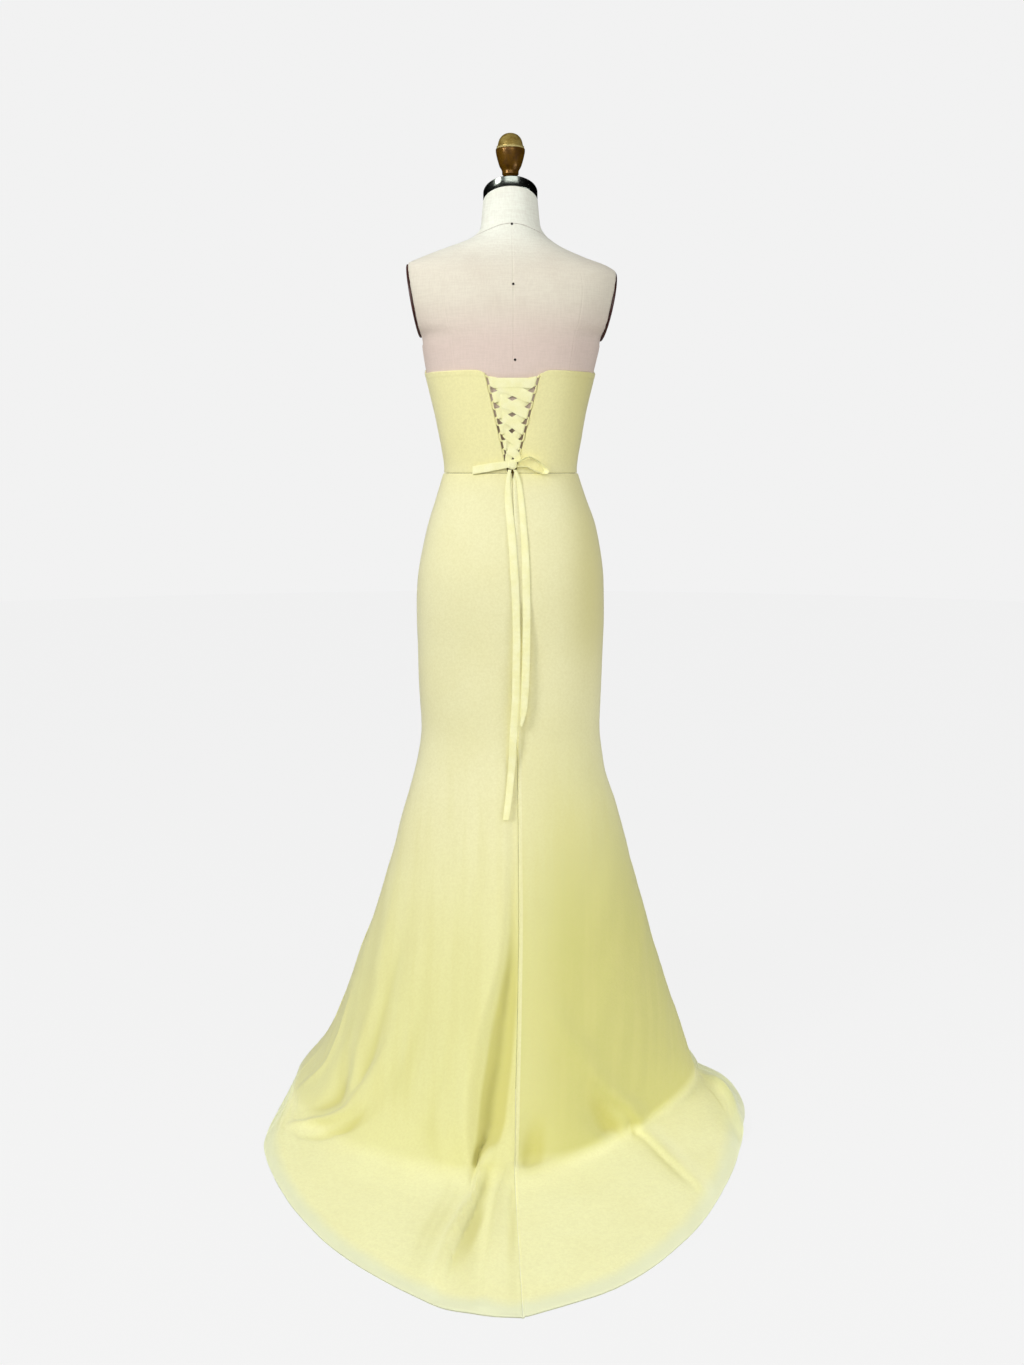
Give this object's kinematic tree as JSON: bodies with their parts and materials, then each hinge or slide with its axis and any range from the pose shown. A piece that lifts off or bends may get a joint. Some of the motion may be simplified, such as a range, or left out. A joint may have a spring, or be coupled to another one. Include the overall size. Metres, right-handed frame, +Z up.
{
  "type": "mermaid dress on a dress form",
  "caption": "Strapless mermaid dress with a laced back, a ribbon bow with long tails and a sweep train, worn by a limbless dress form on a floor base.",
  "frame": {"origin": "centre of the underside of the form's base, on the floor", "axes": "+Z up along the form's pole, +X to the wearer's right, +Y to the wearer's front, so the laced back and the train face -Y"},
  "size_m": [0.7709, 1.051, 1.5733],
  "materials": {
    "crepe": "matte stretch crepe, pale yellow",
    "ribbon": "flat ribbon of the same cloth, pale yellow",
    "linen": "plain linen cover, off-white",
    "plate": "dark red-brown enamel",
    "steel": "polished steel",
    "bronze": "aged bronze with a brass cap",
    "iron": "black paint on cast iron"
  },
  "bodies": {
    "root": {"bodice_front": "crepe", "bodice_back_left": "crepe", "bodice_back_right": "crepe", "loops_left": "crepe", "loops_right": "crepe", "skirt_front": "crepe", "skirt_back_left": "crepe", "skirt_back_right": "crepe", "lace": "ribbon", "bow_knot": "ribbon", "bow_loop_left": "ribbon", "bow_loop_right": "ribbon", "tail_left": "ribbon", "tail_right": "ribbon", "form_torso": "linen", "arm_plate_left": "plate", "arm_plate_right": "plate", "neck_band": "steel", "finial": "bronze", "pole": "steel", "base": "iron"}
  },
  "joints": []
}
